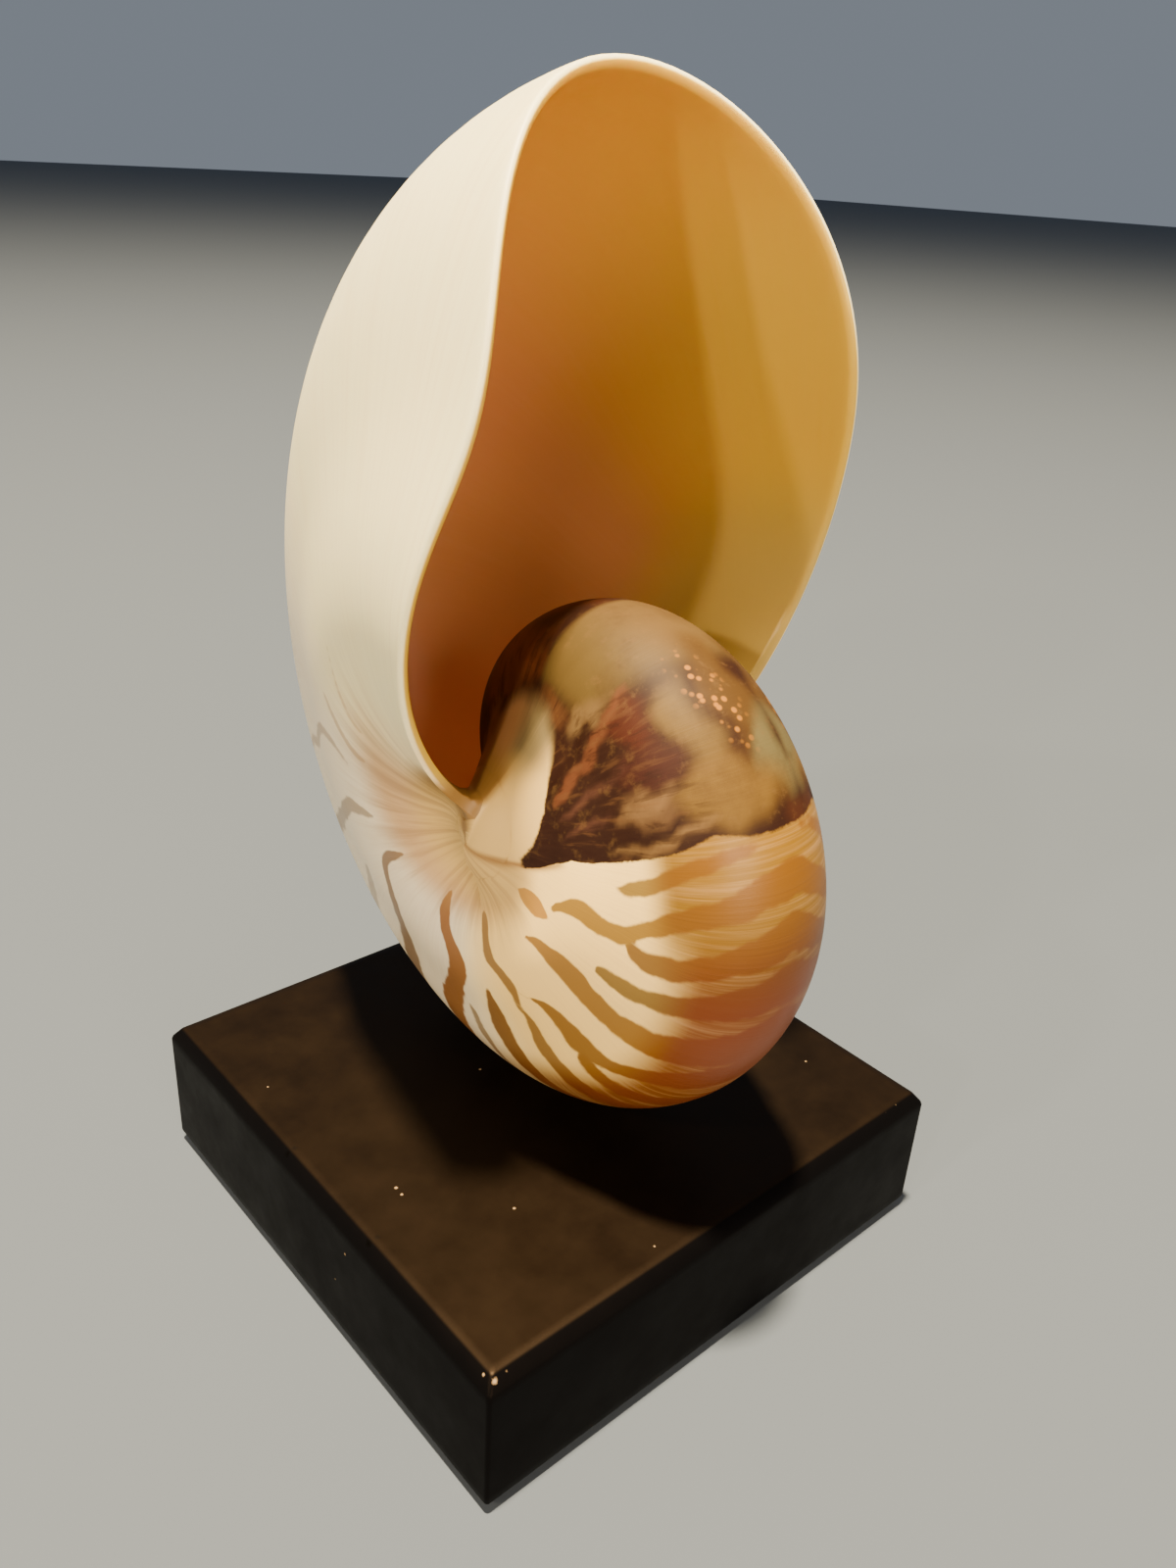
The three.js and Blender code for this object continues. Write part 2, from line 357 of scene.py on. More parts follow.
def shell_distance(points, filling):
    """How far points stand outside the shell: the least of the distances to the last whorl's wall, to the
    whorl inside it and to the callus button, the corners between them filled by smooth_least."""
    turn = turn_of(points)
    from_axis = np.hypot(points[:, 0], points[:, 2])
    angle, outside = fit_to_tube(points, turn)
    past_lip = np.radians(turn - lip_turn(angle)) * from_axis
    hollow = np.where(turn > CHAMBER_BACK, -(outside + WALL), outside)
    wall = np.maximum(np.maximum(outside, hollow), past_lip)
    inner = fit_to_tube(points, turn - 360)[1]
    along = np.abs(points[:, 1] / CALLUS_HALF_WIDTH) ** CALLUS_POWER
    bulk = (from_axis / CALLUS_RADIUS) ** CALLUS_POWER + along
    button = (bulk ** (1 / CALLUS_POWER) - 1) * CALLUS_RADIUS
    fading = filling * np.exp(-((from_axis / FILLET_REACH) ** 2))
    whorl = smooth_least(inner, button, np.maximum(CALLUS_FILLET * fading, 0.05 * MM))
    return smooth_least(wall, whorl, np.maximum(WALL_FILLET * fading, 0.05 * MM))


# The lime runs smoothly from the lip and the wall over the callus on to the inner whorl: each point near the
# navel moves out along the slope of the filled distance until that is what its unfilled distance was.
STEP = 0.02 * MM
LONGEST_MOVE = 1.2 * MM
FILLING_ROUNDS = 14
near = np.flatnonzero(np.hypot(coil[:, 0], coil[:, 2]) < 1.6 * FILLET_REACH)
moved = coil[near]
start = shell_distance(moved, 0)
for _ in range(FILLING_ROUNDS):
    here = shell_distance(moved, 1)
    slope = np.stack([shell_distance(moved + STEP * axis, 1) - here for axis in np.eye(3)], -1) / STEP
    length = np.maximum((slope**2).sum(-1), 0.3)
    move = np.clip(start - here, 0, LONGEST_MOVE) * 0.8 / length
    moved = moved + slope * move[:, None]
coil[near] = moved
shell = mesh_object("shell", stand(coil), faces)
mesh = shell.data

# Near the navel the skins of the whorls and of the button meet in one surface, so its slope gives their
# normals. Further from the coil's axis the mesh's own normals take over.
SLOPE_REACH = 26 * MM
SLOPE_FADE = 8 * MM
own = np.empty(coil.size, np.float32)
mesh.vertex_normals.foreach_get("vector", own)
normals = own.reshape(-1, 3).astype(float)
here = shell_distance(moved, 1)
slope = np.stack([shell_distance(moved + STEP * axis, 1) - here for axis in np.eye(3)], -1) @ COIL_TO_SLAB.T
slope /= np.maximum(np.linalg.norm(slope, axis=1, keepdims=True), 1e-9)
from_axis = np.hypot(moved[:, 0], moved[:, 2])
same_way = (slope * normals[near]).sum(1) > 0
closeness = np.clip((SLOPE_REACH - from_axis) / SLOPE_FADE, 0, 1) * same_way
normals[near] += (slope - normals[near]) * closeness[:, None]
normals /= np.linalg.norm(normals, axis=1, keepdims=True)
mesh.normals_split_custom_set_from_vertices(normals.tolist())

# Each point has its place on the chart of the shell: the turn and the angle round the section, in degrees.
# Points of the inner whorl and of the button have it measured anew, as the fillets have moved them.
row_turns = np.concatenate([outside_turns, over_turns, inside_turns, dish_turns])
loose = coil[row_turns.size:]
PAST_THE_MOUTH = 5
loose_turn = turn_of(loose)
loose_turn = np.where(loose_turn > PAST_THE_MOUTH, loose_turn - 360, loose_turn)
point_turn = np.concatenate([row_turns.ravel(), loose_turn])
point_angle = np.degrees(np.concatenate([np.tile(angles, len(row_turns)), fit_to_tube(loose, loose_turn)[0]]))
inner = np.flatnonzero(point_turn < JOIN_TURN)
drift = (turn_of(coil[inner]) - point_turn[inner] + 180) % 360 - 180
point_turn[inner] += drift
point_angle[inner] = np.degrees(fit_to_tube(coil[inner], point_turn[inner])[0])
# The lining starts half way over the lip.
in_rows = np.zeros(row_turns.shape)
in_rows[len(outside_turns) + len(over_turns) // 2:] = 1


def soft_step(value, low, high):
    """0 below low, 1 above high, and 3 t t - 2 t t t between."""
    t = np.clip((value - low) / (high - low), 0, 1)
    return t * t * (3 - 2 * t)


def washed(colour, washes):
    """Lays colours over each other: each share moves the colour that far towards its hex code."""
    for share, code in washes:
        colour = colour + (np.array(linear(code)) - colour) * share[:, None]
    return colour


# The edges of a ribbon are evened over these degrees of angle.
NUDGES = (-3, -1.5, 0, 1.5, 3)


def inside_ribbon(points, fold, turn):
    """How far inside a ribbon each place is, in degrees of turn: its half width less the distance from its
    middle line. Both run straight from point to point of the ribbon, evened over a few degrees of angle."""
    at, turns, halves = np.array(points, float).T
    centre = sum(np.interp(fold + nudge, at, turns) for nudge in NUDGES) / len(NUDGES)
    half = sum(np.interp(fold + nudge, at, halves, right=-9) for nudge in NUDGES) / len(NUDGES)
    return np.where(fold < at[0], half - (at[0] - fold) * 0.4, half) - np.abs(turn - centre)


# The flame stripes run from the keel (0 degrees round the section) towards the navel. Each point of a
# stripe is an angle, a turn and a half width in degrees of turn. Its strength and its colour come last.
FLAMES = [
    ([(8, -285, 0.8), (30, -281, 2.2), (45, -276, 2.4), (58, -273.5, 2), (68, -272.5, -1)],
     0.9, "6F5205"),
    ([(0, -277, 3.8), (20, -272.5, 2.8), (35, -269, 2.6), (48, -264, 2.6), (57, -259.5, 3),
      (66, -258.3, 3), (75, -258.8, 4), (86, -260, 4.4), (93, -258.5, 3.2), (100, -253.5, 2.4),
      (104, -249, 3)], 0.95, "836010"),
    ([(103, -246, 1), (106, -244.5, 5), (112, -243.5, 6.6), (118, -242.5, 6), (122, -242, -1)],
     0.9, "9A690E"),
    ([(0, -266, 4.2), (20, -261, 3), (35, -257, 3), (46, -255.3, 3), (53, -256.3, 2.6),
      (59, -258.5, 1)], 0.95, "704D16"),
    ([(0, -255, 5.2), (20, -251, 3.4), (35, -247.5, 2.6), (48, -244.6, 2.5), (60, -243.4, 2.2),
      (67, -243, 1.8), (72, -242.5, -1)], 0.95, "73571D"),
    ([(0, -243, 6.2), (20, -238, 4.6), (35, -234.5, 3.8), (50, -232, 4), (64, -231.5, 3.8),
      (75, -232.5, 5), (86, -233, 4.8), (95, -231.8, 3.4), (102, -229.5, 2.8), (106, -225, 1.8),
      (109, -222, -1)], 0.95, "845C1A"),
    ([(0, -233, 5.6), (20, -227.5, 3.4), (32, -222.5, 2.4), (41, -217.5, 2.8), (50, -215.2, 4),
      (60, -214, 3.8), (70, -213, 2.6), (78, -211, 1.6), (81, -207, 0.7), (84, -203, 0.6),
      (88, -202, -1)], 0.95, "7E571C"),
    ([(0, -219, 4), (20, -215.5, 2.4), (32, -212.8, 2.4), (42, -212, 2.4), (50, -213, 1)],
     0.95, "7B5116"),
    ([(0, -210, 4.6), (20, -206, 3.4), (35, -202, 3.1), (50, -199.6, 3.1), (60, -199.5, 2.4),
      (70, -200.2, 1.5), (77, -198.5, 1.2), (84, -201, 2.4), (90, -200.5, 3.2), (96, -198.8, 2.4),
      (99, -195, 3.4), (103, -193.2, 3.2), (112, -192.8, 2.4), (120, -192.2, 2.8), (125, -193, -1)],
     0.9, "775220"),
    ([(0, -199, 6), (20, -194, 4), (32, -189, 3.2), (45, -185.3, 3.6), (60, -183.8, 4.2),
      (71, -184.5, 3.4), (80, -185.7, 2), (90, -186.5, -1)], 0.95, "744D1D"),
    ([(0, -184, 5.5), (20, -181, 3), (35, -176, 1.4), (48, -173.5, 1.7), (60, -172.2, 1.2),
      (68, -171.5, -1)], 0.75, "64441B"),
    ([(0, -172, 6.5), (20, -168, 4.6), (35, -164, 3.4), (50, -162.8, 4), (62, -164.5, 4.2),
      (75, -167.5, 4), (86, -171, 4.6), (95, -172.6, 5), (102, -170, 4.4), (108, -165.5, 3.6),
      (115, -161.2, 3.6), (121, -158.6, 3.4), (128, -157, -1)], 0.95, "825016"),
    ([(0, -155, 5), (20, -151, 3.6), (40, -147.5, 3.4), (55, -146, 3.6), (70, -144, 3.2),
      (80, -142, 2.8), (90, -139, 2.6), (98, -134, 2.4), (104, -127, 2.2), (109, -121.5, 2.6),
      (116, -121, 2.8), (123, -122, -1)], 0.85, "6A4824"),
    ([(0, -139, 2.4), (25, -133, 2), (40, -131, 1.8), (55, -128.5, 2.2), (70, -125.5, 2),
      (80, -123.5, 1.4), (88, -122, -1)], 0.5, "684B2D"),
    ([(0, -121, 2), (30, -115.5, 1.8), (45, -113.5, 2), (60, -111, 2), (75, -108.5, 2),
      (88, -106, 2.2), (98, -101.5, 2.8), (105, -99.5, 3), (112, -101, 1.8), (118, -102, -1)],
     0.65, "684C2C"),
    ([(22, -101, 1), (40, -98, 0.8), (55, -94, 1.2), (65, -92.5, 1.4), (76, -89, 1.5),
      (86, -82.5, 1.7), (94, -78.5, 1.8), (103, -77, 1.6), (110, -80, 1), (115, -84, -1)],
     0.55, "785732"),
    ([(97, -60, -1), (104, -63, 1.4), (111, -68, 1.8), (117, -72, 2.2), (123, -69, -1)], 0.5, "906834"),
    ([(97, -40, -1), (104, -44, 1), (111, -50, 1.4), (118, -55, 1.6), (124, -50, -1)], 0.42, "A07439"),
]
# On the far flank the same stripes stand a few degrees of turn off, now ahead and now behind.
fold = np.abs(point_angle)
far_side = np.clip(point_angle / 40, 0, 1)
wander = far_side * (4.5 * np.sin(point_turn * 0.11) + 3 * np.sin(point_angle * 0.09 + point_turn * 0.05))
ribbon_turn = point_turn - wander
inside_flame = np.full(len(point_turn), -9.0)
flame_strength = np.zeros(len(point_turn))
flame_colour = np.tile(np.array(linear("93692F")), (len(point_turn), 1))
for points, strength, code in FLAMES:
    depth = inside_ribbon(points, fold, ribbon_turn)
    nearest = depth > inside_flame
    flame_strength[nearest] = strength
    flame_colour[nearest] = linear(code)
    inside_flame = np.maximum(inside_flame, depth)

# The horny film lies on the inner whorl, in front of where the animal's hood was. Its front edge is given
# as a turn for each angle, its lower edge as an angle for each turn. inside_film counts inwards from both.
FRONT_ANGLES = [0, 10, 20, 28, 38, 45, 60, 75, 90, 100, 108, 116, 122]
FRONT_TURNS = [-286, -286.5, -288, -286, -284, -283, -281.5, -280, -279, -276, -271, -265, -258]
SIDE_TURNS = [-404, -390, -378, -366, -356, -345, -335, -325, -318, -310, -300, -290, -280, -270]
SIDE_ANGLES = [96, 84, 68, 61, 60, 63, 72, 83, 92, 99, 106, 111, 115, 119]
ahead = np.interp(fold, FRONT_ANGLES, FRONT_TURNS) - point_turn
aside = (np.interp(point_turn, SIDE_TURNS, SIDE_ANGLES) - fold) * 0.4
inside_film = np.clip(np.minimum(ahead, aside), -6, 6)
side_blur = 0.4 + 3.6 * soft_step(-point_turn, 312, 345)

# Where the ground and the flames change colour, as a share for each point. The limits of the soft steps are
# degrees of turn or of angle, and MM where they are distances from the coil's axis or along it.
from_axis = np.hypot(coil[:, 0], coil[:, 2])
in_navel = (1 - soft_step(from_axis, 9 * MM, 14 * MM)) * soft_step(np.abs(coil[:, 1]), 8 * MM, 12 * MM)
below_film = soft_step(ahead, -1, 2) * soft_step(-aside, -6, -3)
callus = np.maximum(in_navel, below_film)
dull_callus = below_film * soft_step(-point_turn, 318, 338) * (1 - soft_step(fold, 92, 118))
lining = np.concatenate([in_rows.ravel(), np.zeros(len(loose))])
flame_strength *= 1 - lining
keel_edge = 8 * soft_step(point_turn, -225, -190)
over_keel = (1 - soft_step(fold - keel_edge, 24, 43)) * soft_step(-ribbon_turn, 150, 205)
# The amber band over the keel is the shell's own colour, and partly painted shade too, as it is darkened to
# stand for less light there.
amber = (1 - soft_step(fold, 34, 51)) * soft_step(-point_turn, 247, 272)
coil_back = soft_step(-point_turn, 40, 80) * soft_step(point_turn, -185, -165)
navel_side = soft_step(fold, 112, 126) * soft_step(-point_turn, 20, 70)
# Painted shade lies in the crease that runs from the film's lower corner towards the navel, given as an angle
# for each turn.
CREASE_TURNS = [-300, -275, -271, -261, -242, -213, -195, -150]
CREASE_ANGLES = [90, 100, 108, 124, 135, 141, 146, 150]
from_crease = fold - np.interp(point_turn, CREASE_TURNS, CREASE_ANGLES)
crease_shade = soft_step(point_turn, -290, -270) * (1 - soft_step(point_turn, -235, -190))
crease_shade = np.exp(-((from_crease / 4) ** 2)) * crease_shade
nook = in_navel * np.maximum(soft_step(point_turn, -70, -20), soft_step(-point_turn, 335, 350))
lined = soft_step(fold, 98, 130) * soft_step(-point_turn, 10, 45)
lined = lined * (1 - soft_step(-point_turn, 225, 275)) * (1 - lining)
deep_inside = soft_step(-point_turn, 2, 52)
deepest = soft_step(-point_turn, 70, 115)
right_wall = soft_step(point_angle, 82, 118)
# Washes laid one over the other, each a share and a colour.
plain = np.tile(np.array(linear("FCE9B4")), (len(point_turn), 1))
ground_colour = washed(plain, [
    (soft_step(-point_turn, 170, 200), "FBD67E"),
    (coil_back, "E8DCC0"),
    (navel_side * 0.8, "B88C4E"),
    (over_keel, "6A3A05"),
    (amber, "705000"),
    # The lining's washes are painted light: nacre is pearly cream, and its gold here is the lamps' warm light
    # bounced round the chamber, the brown further in painted shade, the pale peach deepest in a painted glow,
    # and the olive on the right wall a painted pool of lamplight.
    (lining, "BE9C2A"),
    (lining * deep_inside, "AC7748"),
    (lining * deepest, "E6A876"),
    (lining * right_wall, "AE9448"),
    (callus, "C8A862"),
    (dull_callus, "6C6040"),
    (crease_shade * 0.8, "6A4014"),
    # Painted shade: the callus below the film grows darker step by step further into the chamber, under the
    # mouth's roof.
    (below_film * soft_step(-point_turn, 348, 366), "8A6640"),
    (below_film * soft_step(-point_turn, 376, 392), "54381A"),
    (nook, "80602E"),
])
flame_colour = washed(flame_colour, [
    (over_keel, "662F03"),
    (amber, "664000"),
    (navel_side * 0.4, "A88752"),
])

# The film's colours: chocolate, clouded with beige, olive and rust. Each cloud is a turn and an angle, half
# its size both ways, how strong it is, and its colour. Veins run over the clouds, written as the flames are.
FILM_CLOUDS = [
    # The first two clouds, deep in the mouth, are partly the film's own dark colour and partly painted shade
    # from the lip.
    (-382, -40, 26, 26, 1.0, "6A3A1C"),
    (-385, 0, 26, 16, 0.9, "4A2208"),
    (-394, -84, 13, 30, 0.9, "7A5426"),
    (-345, -58, 13, 10, 0.9, "442A15"),
    (-345, -92, 13, 24, 0.9, "644F32"),
    (-328, -50, 5, 16, 0.8, "5F4A2C"),
    (-318, 2, 18, 9, 0.95, "402C10"),
    (-312, -15, 14, 8, 0.9, "55411A"),
    (-301, 7, 10, 7, 0.9, "514A2E"),
    (-296, -11, 8, 19, 0.9, "594219"),
    (-288, 8, 3.5, 7, 0.9, "341A0C"),
    (-318, -32, 8, 11, 0.85, "371609"),
    (-306, -34, 7, 14, 0.8, "2F140D"),
    (-296, -40, 5, 14, 0.6, "5B4329"),
]
FILM_VEINS = [
    ([(48, -326, 1), (60, -321.5, 2.2), (75, -318.5, 2.2), (90, -314.5, 2.2), (100, -308.5, 1.6),
      (105, -304, -1)], 0.9, "1C0902"),
    ([(26, -326.5, 0.8), (40, -323, 1.8), (50, -319, 2.4), (58, -315.5, 2.6), (70, -314, 2.6),
      (80, -311, 2.6), (88, -308, 3), (94, -305, 2.6), (99, -303, -1)], 0.85, "522F1A"),
    ([(28, -300, 1), (36, -297.5, 2.4), (46, -295.5, 2.8), (54, -294, 2), (60, -293, -1)], 0.8, "654C2E"),
    ([(20, -291, 0.6), (33, -287.5, 1.3), (45, -285.6, 1.4), (58, -284.6, 1), (68, -284, -1)],
     0.7, "6D5331"),
    ([(42, -308, 0.6), (58, -305.5, 1.5), (75, -302.5, 1.6), (88, -299, 1.2), (98, -296, -1)],
     0.5, "4D3024"),
    ([(58, -297, 0.6), (72, -293.5, 1.4), (86, -291.5, 1.2), (98, -287, -1)], 0.5, "4A2E22"),
    ([(96, -316, 0.6), (106, -303, 1), (112, -290, 1.4), (117, -278, 1), (122, -264, 0.6)],
     0.5, "160602"),
]

# The patch is the same on both flanks, folded over a line a little past the keel. Sines shift its clouds and
# veins by a degree or two, so that no edge runs straight.
FOLDED_AT = 12
film_angle = FOLDED_AT - np.abs(point_angle - FOLDED_AT)
shift_turn = 1.2 * np.sin(film_angle * 0.23 + 1.7 * np.sin(point_turn * 0.17))
shift_turn = shift_turn + 0.6 * np.sin(film_angle * 0.61)
shift_angle = 2.5 * np.sin(point_turn * 0.33 + 1.3 * np.sin(film_angle * 0.11))
film_washes = []
for turn, angle, wide, tall, strength, code in FILM_CLOUDS:
    apart = np.hypot((point_turn + shift_turn - turn) / wide, (film_angle + shift_angle - angle) / tall)
    film_washes.append(((1 - soft_step(apart, 0.5, 1.2)) * strength, code))
# A broad beige field with a crisp left edge lies over the two darkest clouds and under the others. That edge
# is partly the film's own edge and partly the lip's shadow edge, painted.
left_edge = soft_step(point_turn - 0.14 * np.maximum(-film_angle - 30, 0), -359, -355.5)
beige = left_edge * (1 - soft_step(point_turn, -333, -322)) * (1 - soft_step(-film_angle, 40, 58))
film_washes[2:2] = [(beige, "473819"), (beige * (1 - soft_step(-film_angle, 0, 24)), "4F3C1F")]
for points, strength, code in FILM_VEINS:
    depth = inside_ribbon(points, -film_angle, point_turn + shift_turn * 0.6)
    film_washes.append((soft_step(depth, -1.2, 1.2) * strength, code))
film_colour = washed(np.tile(np.array(linear("210F07")), (len(point_turn), 1)), film_washes)
from_specks = np.hypot((point_turn + 314 - film_angle * 0.8) / 15, (film_angle + 4) / 8)
speckled = 1 - soft_step(from_specks, 0.5, 1.1)
streaked = (1 - beige) * soft_step(-film_angle, 8, 30)
ribbed = (1 - 0.75 * lining) * (1 + 0.6 * over_keel)
glowing = 0.8 * soft_step(point_turn, -175, -115) * soft_step(from_axis, 14 * MM, 26 * MM)

POINT_VALUES = {
    "turn": point_turn,
    "angle": point_angle,
    "inside_flame": inside_flame,
    "flame_strength": flame_strength,
    "inside_film": inside_film,
    "side_blur": side_blur,
    "speckled": speckled,
    "streaked": streaked,
    "lined": lined,
    "ribbed": ribbed,
    "glowing": glowing,
    "ground_colour": ground_colour,
    "flame_colour": flame_colour,
    "film_colour": film_colour,
}
for name, values in POINT_VALUES.items():
    kind, field = ("FLOAT", "value") if values.ndim == 1 else ("FLOAT_COLOR", "color")
    mesh.attributes.new(name, kind, "POINT").data.foreach_set(field, values.ravel().astype(np.float32))
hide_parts("nautilus_shell")
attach(shell, "root")

# Nautilus lime: porcelain outside, mother of pearl inside, a horny film on the old whorl, and a smooth
# callus. It has a soft gloss and growth lines as fine as hairs, and lamplight glows through its thin wall.
LIME_THROUGH = 4 * MM
lime, tree, shader = new_material("nautilus_lime", IOR=1.5, Subsurface_Scale=LIME_THROUGH)
shader.inputs["Subsurface Radius"].default_value = (1.0, 0.95, 0.8)
place = add(tree, "ShaderNodeTexCoord").outputs["Object"]
point = {name: add(tree, "ShaderNodeAttribute", attribute_name=name) for name in POINT_VALUES}
STRIPE_EDGE_SIZE = 3.2 * MM
CLOUD_SIZE = 9 * MM
MOTTLE_SIZE = 2.2 * MM
SPECK_SIZE = 1.5 * MM
edges = add(tree, "ShaderNodeTexNoise", {"Vector": place, "Scale": 1 / STRIPE_EDGE_SIZE, "Detail": 3.0})
clouds = {"Vector": place, "Scale": 1 / CLOUD_SIZE, "Detail": 5.0, "Roughness": 0.65}
clouds = add(tree, "ShaderNodeTexNoise", clouds)
mottle = {"Vector": place, "Scale": 1 / MOTTLE_SIZE, "Detail": 4.0, "Roughness": 0.65}
mottle = add(tree, "ShaderNodeTexNoise", mottle)
specks = add(tree, "ShaderNodeTexVoronoi", {"Vector": place, "Scale": 1 / SPECK_SIZE})

# Growth lines, the film's streaks and the folds round the navel are noise on the chart of turn and angle,
# drawn out along the angle. The lines are about 1 degree of turn apart and 90 of angle long, the streaks 3
# and 20, the folds 6 and 50. A degree of turn is 1 mm on the last whorl, 0.7 on the film, 0.3 by the navel.
chart = {"X": point["turn"].outputs["Fac"], "Y": point["angle"].outputs["Fac"]}
chart = add(tree, "ShaderNodeCombineXYZ", chart)
drawn = {}
for name, stretch, settings in (
    ("lines", (1.0, 0.012, 0), {"Scale": 0.9, "Detail": 4.0, "Roughness": 0.7}),
    ("streaks", (0.3, 0.045, 0), {"Scale": 1.0, "Detail": 5.0, "Roughness": 0.6, "Distortion": 0.5}),
    ("folds", (0.16, 0.02, 0), {"Scale": 1.0, "Detail": 4.0, "Roughness": 0.65}),
):
    stretched = add(tree, "ShaderNodeVectorMath", {0: chart.outputs[0], 1: stretch}, operation="MULTIPLY")
    noise = add(tree, "ShaderNodeTexNoise", {"Vector": stretched.outputs[0], **settings})
    drawn[name] = noise.outputs[0]

# Masks where a stored distance passes zero, made ragged by noise: the flames, and the film.
masks = {}
for name, source, ragged, soft in (
    ("inside_flame", edges, 2.6, 0.6),
    ("inside_film", mottle, 2.0, point["side_blur"].outputs["Fac"]),
):
    wobble = {0: source.outputs[0], 1: ragged, 2: -ragged / 2}
    wobble = add(tree, "ShaderNodeMath", wobble, operation="MULTIPLY_ADD")
    shifted = {0: point[name].outputs["Fac"], 1: wobble.outputs[0]}
    shifted = add(tree, "ShaderNodeMath", shifted, operation="ADD")
    below = add(tree, "ShaderNodeMath", {0: soft, 1: -1.0}, operation="MULTIPLY")
    limits = {"Value": shifted.outputs[0], "From Min": below.outputs[0], "From Max": soft}
    masks[name] = add(tree, "ShaderNodeMapRange", limits, interpolation_type="SMOOTHSTEP").outputs[0]
# Shares of each pattern: a noise, the values where it starts and is full, and its strength there.
for name, value, low, high, most in (
    ("dark_clouds", clouds.outputs[0], 0.45, 0.7, 0.35),
    ("dark_streaks", drawn["streaks"], 0.5, 0.36, 0.6),
    ("pale_streaks", drawn["streaks"], 0.52, 0.68, 0.35),
    ("pale_mottle", mottle.outputs[0], 0.54, 0.74, 0.35),
    ("speck", specks.outputs["Distance"], 0.4, 0.2, 0.95),
    ("growth", drawn["lines"], 0.4, 0.75, 0.16),
    ("folds", drawn["folds"], 0.4, 0.66, 0.5),
):
    limits = {"Value": value, "From Min": low, "From Max": high, "To Max": most}
    masks[name] = add(tree, "ShaderNodeMapRange", limits, interpolation_type="SMOOTHSTEP").outputs[0]
# Patterns that show only in some places, as a mask times a stored share.
for name, first, second in (
    ("flame", masks["inside_flame"], point["flame_strength"].outputs["Fac"]),
    ("pearl", masks["speck"], point["speckled"].outputs["Fac"]),
    ("folds", masks["folds"], point["lined"].outputs["Fac"]),
    ("growth", masks["growth"], point["ribbed"].outputs["Fac"]),
    ("dark_streaks", masks["dark_streaks"], point["streaked"].outputs["Fac"]),
    ("pale_streaks", masks["pale_streaks"], point["streaked"].outputs["Fac"]),
):
    masks[name] = add(tree, "ShaderNodeMath", {0: first, 1: second}, operation="MULTIPLY").outputs[0]
film = point["film_colour"].outputs["Color"]
FILM_LAYERS = (
    ("dark_clouds", "281408"),
    ("dark_streaks", "1E0B04"),
    ("pale_streaks", "53381F"),
    ("pale_mottle", "584122"),
    ("pearl", "8E5C12"),
)
for name, code in FILM_LAYERS:
    film = {"Factor": masks[name], 6: film, 7: linear(code)}
    film = add(tree, "ShaderNodeMix", film, data_type="RGBA").outputs[2]
flame = point["flame_colour"].outputs["Color"]
skin = point["ground_colour"].outputs["Color"]
for name, over in (
    ("growth", linear("C9A070")),
    ("folds", linear("8C6A42")),
    ("flame", flame),
    ("inside_film", film),
):
    skin = {"Factor": masks[name], 6: skin, 7: over}
    skin = add(tree, "ShaderNodeMix", skin, data_type="RGBA").outputs[2]
tree.links.new(skin, shader.inputs["Base Color"])
tree.links.new(point["glowing"].outputs["Fac"], shader.inputs["Subsurface Weight"])
gloss = {"Value": clouds.outputs[0], "From Min": 0.3, "From Max": 0.7, "To Min": 0.34, "To Max": 0.46}
gloss = add(tree, "ShaderNodeMapRange", gloss)
gloss = add(tree, "ShaderNodeMix", {"Factor": masks["inside_film"], "A": gloss.outputs[0], "B": 0.58})
tree.links.new(gloss.outputs[0], shader.inputs["Roughness"])
wet = add(tree, "ShaderNodeMix", {"Factor": masks["inside_film"], "A": 0.35, "B": 0.14})
tree.links.new(wet.outputs[0], shader.inputs["Specular IOR Level"])
depth = add(tree, "ShaderNodeMath", {0: point["ribbed"].outputs["Fac"], 1: 0.22}, operation="MULTIPLY")
relief = {"Height": drawn["lines"], "Strength": depth.outputs[0], "Distance": 0.1 * MM}
relief = add(tree, "ShaderNodeBump", relief)
tree.links.new(relief.outputs[0], shader.inputs["Normal"])
shell.data.materials.append(lime)

# THE GLUE BEAD
# A small bead of clear hot-melt glue, squeezed out round the keel when the shell was pressed on to the slab.
# It keeps the shape of its solid.

# Clear glue gone yellow: wet and half clear, with faint cloudy bubbles. It shows as a warm line of light
# under the keel.
bead_material, tree, shader = new_material("clear_glue", IOR=1.48, Roughness=0.15, Transmission_Weight=0.7)
place = add(tree, "ShaderNodeTexCoord").outputs["Object"]
BUBBLE_SIZE = 0.8 * MM
bubbles = add(tree, "ShaderNodeTexNoise", {"Vector": place, "Scale": 1 / BUBBLE_SIZE, "Detail": 2.0})
yellowed = {"Factor": bubbles.outputs[0], 6: linear("7A5424"), 7: linear("B08A50")}
yellowed = add(tree, "ShaderNodeMix", yellowed, data_type="RGBA")
tree.links.new(yellowed.outputs[2], shader.inputs["Base Color"])
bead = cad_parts["glue_bead"]
bead.data.materials.clear()
bead.data.materials.append(bead_material)

# THE VIEW
# The camera stands where the photograph was taken from, in front and to the left, a little above. Its lens
# and sensor, in millimetres, take in what the photograph does.
camera_data = bpy.data.cameras.new("camera")
camera_data.lens = 28.98
camera_data.sensor_width = 36
camera = bpy.data.objects.new("camera", camera_data)
bpy.context.scene.collection.objects.link(camera)
CAMERA_PLACE = Vector((-122.6, -142.2, 177.3)) * MM
CAMERA_HEADING = math.radians(-42.41)
CAMERA_PITCH = math.radians(-26.28)
CAMERA_ROLL = math.radians(3.37)
turned = Matrix.Rotation(CAMERA_HEADING, 4, "Z") @ Matrix.Rotation(math.pi / 2 + CAMERA_PITCH, 4, "X")
camera.matrix_world = Matrix.Translation(CAMERA_PLACE) @ turned @ Matrix.Rotation(CAMERA_ROLL, 4, "Z")
bpy.context.scene.camera = camera

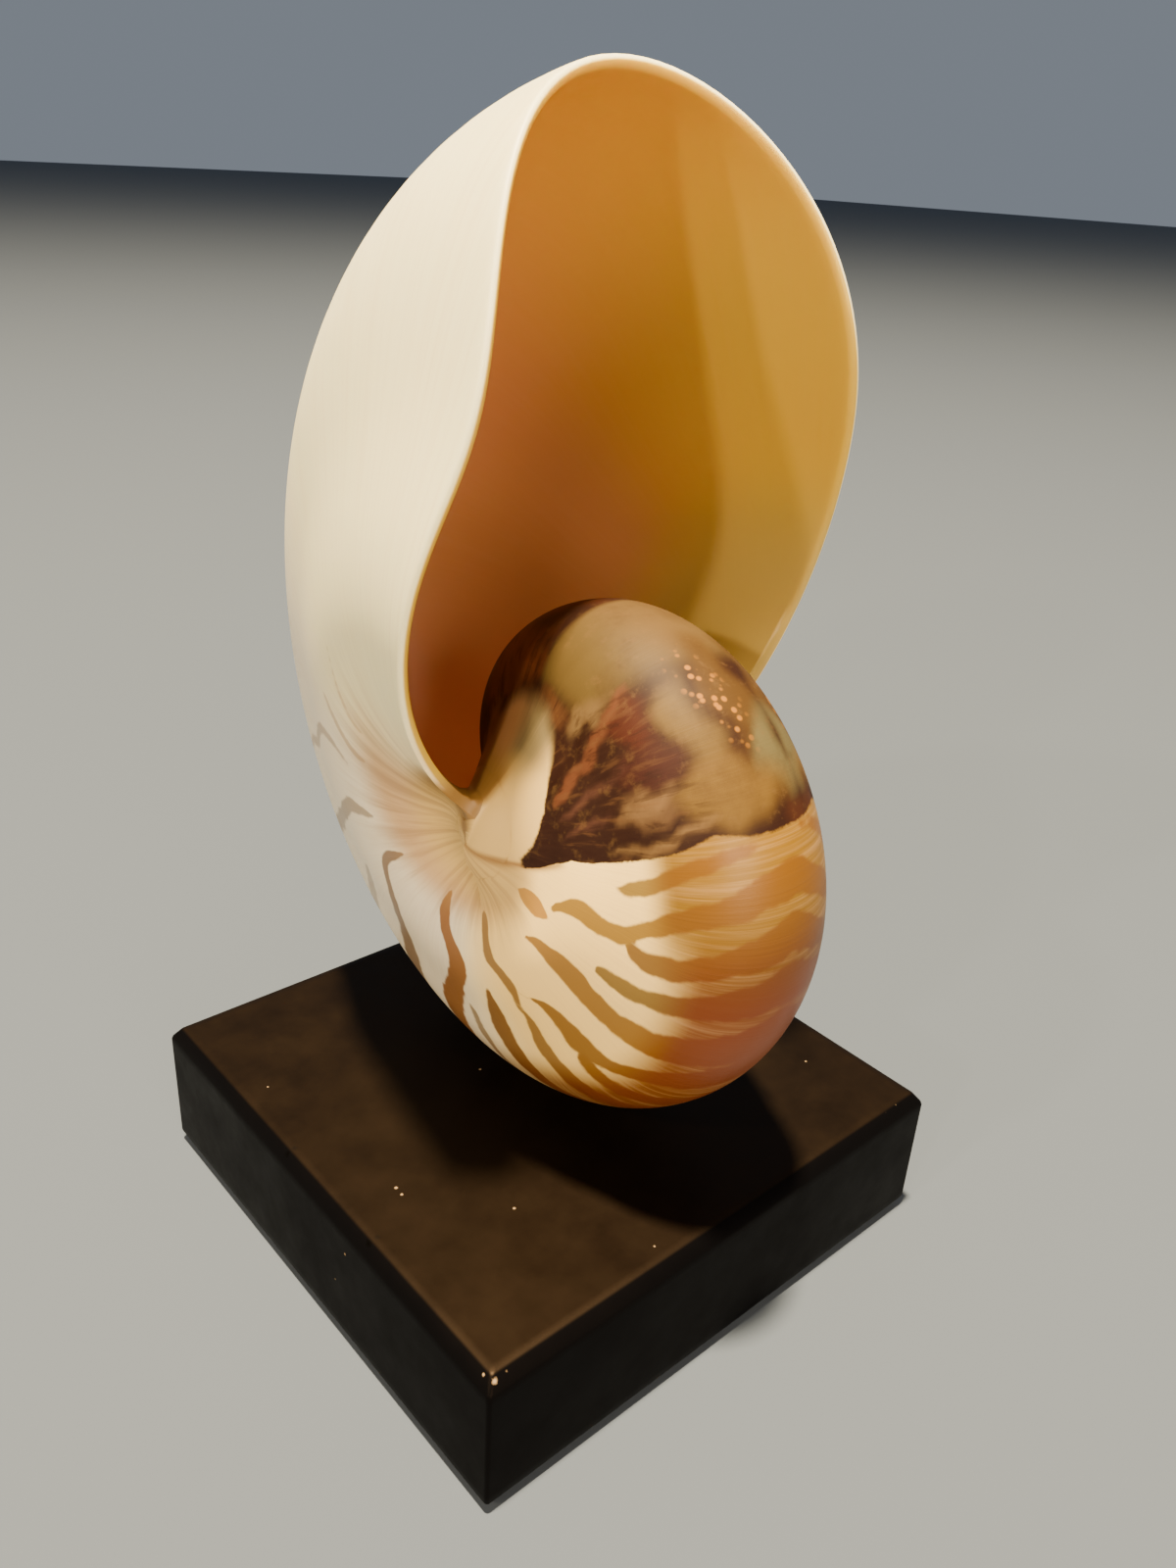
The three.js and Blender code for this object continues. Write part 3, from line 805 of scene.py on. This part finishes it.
floor_data = bpy.data.meshes.new("floor")
FLOOR_HALF = 8
corners = [(x * FLOOR_HALF, y * FLOOR_HALF, 0) for x, y in ((-1, -1), (1, -1), (1, 1), (-1, 1))]
floor_data.from_pydata(corners, [], [(0, 1, 2, 3)])
floor = bpy.data.objects.new("floor", floor_data)
bpy.context.scene.collection.objects.link(floor)
floor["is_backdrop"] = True
# Matt grey card: it shows the shadows and gives back little light.
floor_material, tree, shader = new_material("floor_card", Roughness=0.9, Specular_IOR_Level=0.2)
shader.inputs["Base Color"].default_value = linear("4C545E")
floor.data.materials.append(floor_material)

# The rest of the light is dim and cool, and comes from all round.
world = bpy.data.worlds.new("studio")
world.use_nodes = True
bpy.context.scene.world = world
world.node_tree.nodes["Background"].inputs[0].default_value = linear("CAD5E4")
world.node_tree.nodes["Background"].inputs[1].default_value = 0.32

# One warm lamp hangs nearly overhead and throws the shell's shadow on the slab. Two weaker ones stand to
# the left, where they light the right inner wall past the lip, and a broad one fills from the front. Each
# is a direction from the shell in degrees (round from +X, and up from the floor), a distance and a width in
# metres, and its watts and colour.
LAMPS = [
    ("overhead", -165, 84, 2.5, 0.18, 480, "FFE6BE"),
    ("left", -160, 25, 1.5, 0.08, 12, "FFE6BE"),
    ("left_and_high", -176, 36, 1.5, 0.08, 12, "FFE6BE"),
    ("fill", -105, 12, 1.4, 0.8, 24, "FFE2C0"),
]
AIMED_AT = Vector((0, 0, 0.1))
for name, around, upward, distance, width, watts, code in LAMPS:
    around, upward = math.radians(around), math.radians(upward)
    lamp_data = bpy.data.lights.new(name, "AREA")
    lamp_data.shape = "DISK"
    lamp_data.energy = watts
    lamp_data.size = width
    lamp_data.color = linear(code)[:3]
    lamp = bpy.data.objects.new(name, lamp_data)
    bpy.context.scene.collection.objects.link(lamp)
    level = math.cos(upward)
    away = Vector((level * math.cos(around), level * math.sin(around), math.sin(upward)))
    lamp.location = AIMED_AT + away * distance
    lamp.rotation_euler = away.to_track_quat("Z", "Y").to_euler()

size = {"cad_box": cad_box, "visual_box": [list(corner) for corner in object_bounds()]}
